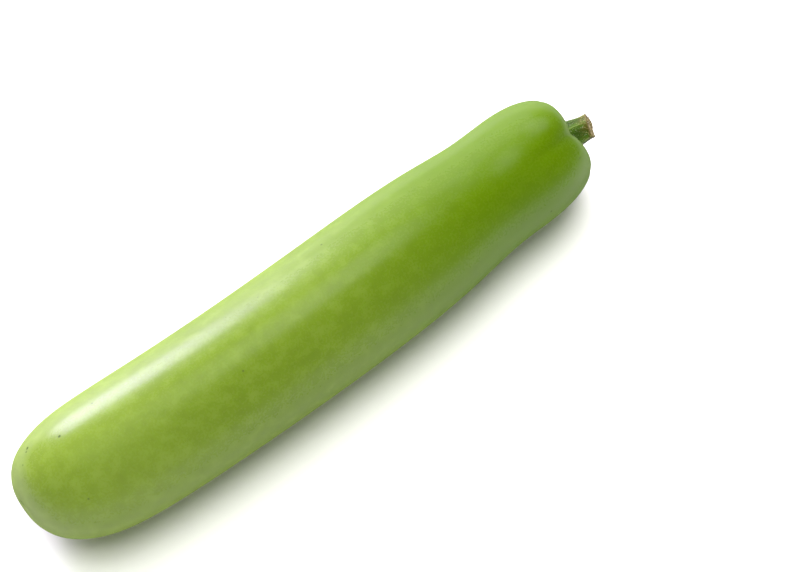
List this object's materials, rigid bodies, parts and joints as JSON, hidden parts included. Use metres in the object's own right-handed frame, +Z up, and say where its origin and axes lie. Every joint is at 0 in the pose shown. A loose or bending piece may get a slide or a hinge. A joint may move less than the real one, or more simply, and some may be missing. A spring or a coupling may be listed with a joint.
{
  "type": "bottle gourd",
  "caption": "Long pale green bottle gourd lying on its side, with a creased, lobed stem end and a short ridged cut stem.",
  "frame": {"origin": "on the surface that the gourd lies on, under the middle of its bounding box", "axes": "+X along the fruit from the blossom end to the stem, +Z up, +Y across; the fruit's middle bows towards -Y"},
  "size_m": [0.3658, 0.0748, 0.0725],
  "materials": {
    "skin": "waxy",
    "stalk": "matt, ridged, fibrous at the cut"
  },
  "bodies": {
    "root": {"fruit": "skin", "stem": "stalk"}
  },
  "joints": []
}
